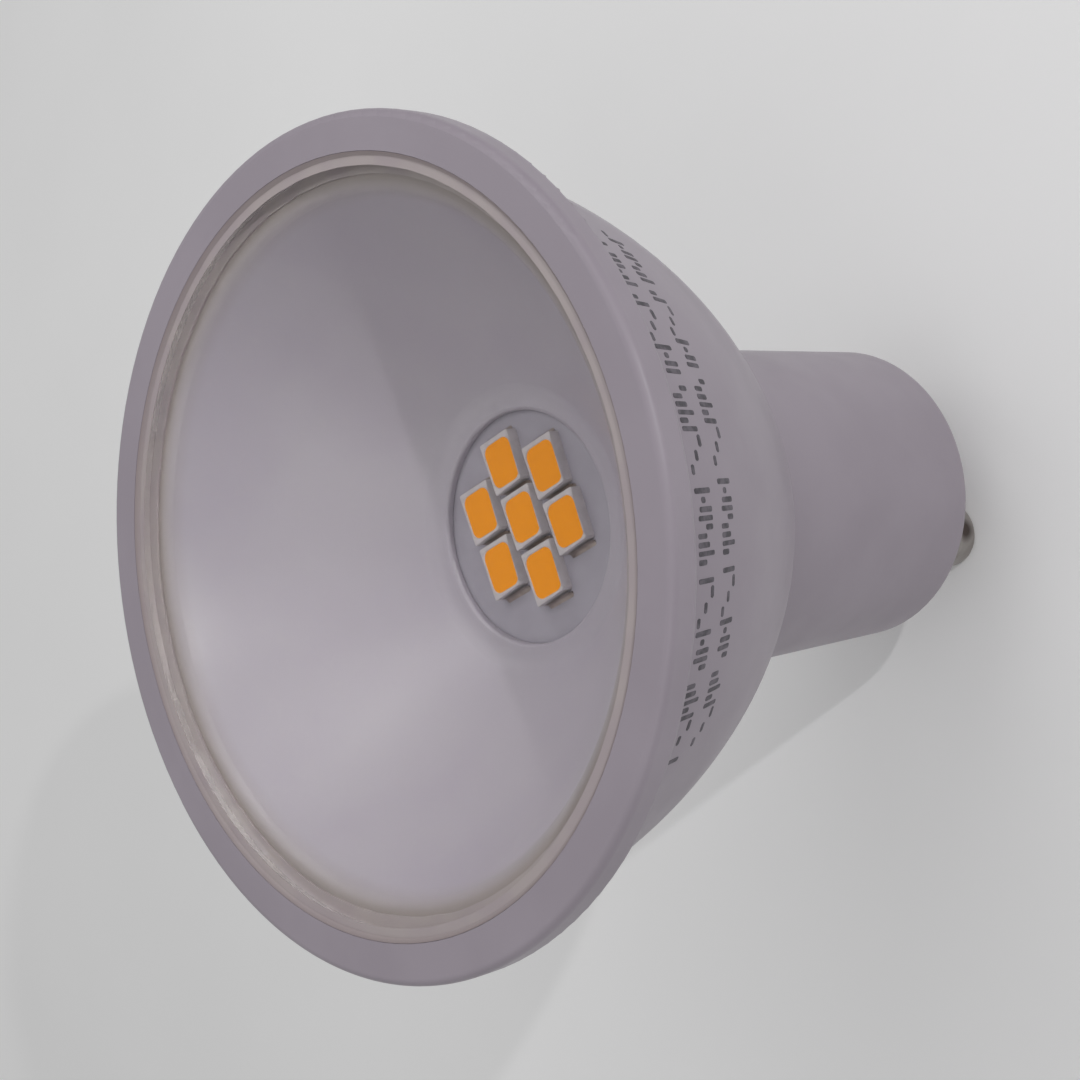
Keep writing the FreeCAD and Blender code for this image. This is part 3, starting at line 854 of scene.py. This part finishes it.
# %% [markdown]
# ## Floor, background and light
#
# The lamp stands on a pale floor. A small bright lamp stands to the camera's upper right:
# its direction was worked out from the edge of the shadow that the rim throws into the
# reflector, and its small size keeps that edge crisp. Four broad soft boxes, over the
# front, the side, the back and the neck, and a near lamp over the rim fill the shadows, and
# the pale world does the rest. Together they light a surface so that its colour comes out
# about as it was written.


# %% Lay the floor
def lay_floor():
    shape = bmesh.new()
    bmesh.ops.create_grid(shape, x_segments=1, y_segments=1, size=1.5)
    data = bpy.data.meshes.new("floor")
    shape.to_mesh(data)
    shape.free()
    floor = bpy.data.objects.new("floor", data)
    floor.location.z = cad_box[0][2]
    bpy.context.scene.collection.objects.link(floor)
    material, tree, place, shader = start_material("pale_paper", {"Roughness": 0.9})
    tint(tree, place, shader, 60.0, "#F3F3F3", "#F6F6F6")
    data.materials.append(material)


lay_floor()
print("floor at", round(cad_box[0][2] / MM, 2), "mm")

# %% [markdown]
# ## Set the lights
#
# Each light is a round area lamp. We give the side it stands on, how far away it is, how
# wide it is and how strong. Power has to grow with the square of the distance, and the
# edge of a shadow gets softer as the lamp gets wider. A lamp that the flat lens would
# mirror towards the camera shows as a pale veil, so none stands there.


# %% Place lamps and world
middle = Vector((0.0, 0.0, 0.025))


def add_lamp(name, direction, distance, size, power):
    """An area lamp on the given side of the lamp's middle, aimed at it."""
    data = bpy.data.lights.new(name, "AREA")
    data.shape = "DISK"
    data.size = size
    data.energy = power
    lamp = bpy.data.objects.new(name, data)
    lamp.location = middle + Vector(direction).normalized() * distance
    lamp.rotation_euler = (lamp.location - middle).to_track_quat("Z", "Y").to_euler()
    lamp.visible_camera = False
    bpy.context.scene.collection.objects.link(lamp)


def light_world(strength):
    world = bpy.data.worlds.new("pale_room")
    world.use_nodes = True
    tree = world.node_tree
    tree.nodes.clear()
    room = add(tree, "ShaderNodeBackground", {"Color": linear("#FFFFFF"), "Strength": strength})
    add(tree, "ShaderNodeOutputWorld", links={"Surface": room.outputs["Background"]})
    bpy.context.scene.world = world


add_lamp("key_lamp", (-0.202, -0.860, 0.470), 0.30, 0.006, 0.178)
add_lamp("front_box", (0.0, -0.574, 0.819), 0.5, 0.3, 0.170)
add_lamp("side_box", (-0.574, 0.0, 0.819), 0.5, 0.3, 0.180)
add_lamp("back_box", (0.0, 0.574, 0.819), 0.5, 0.3, 0.080)
add_lamp("neck_box", (0.542, -0.542, 0.643), 0.5, 0.3, 0.360)
add_lamp("near_lamp", (0.574, 0.0, 0.819), 0.14, 0.08, 0.019)
light_world(0.390)
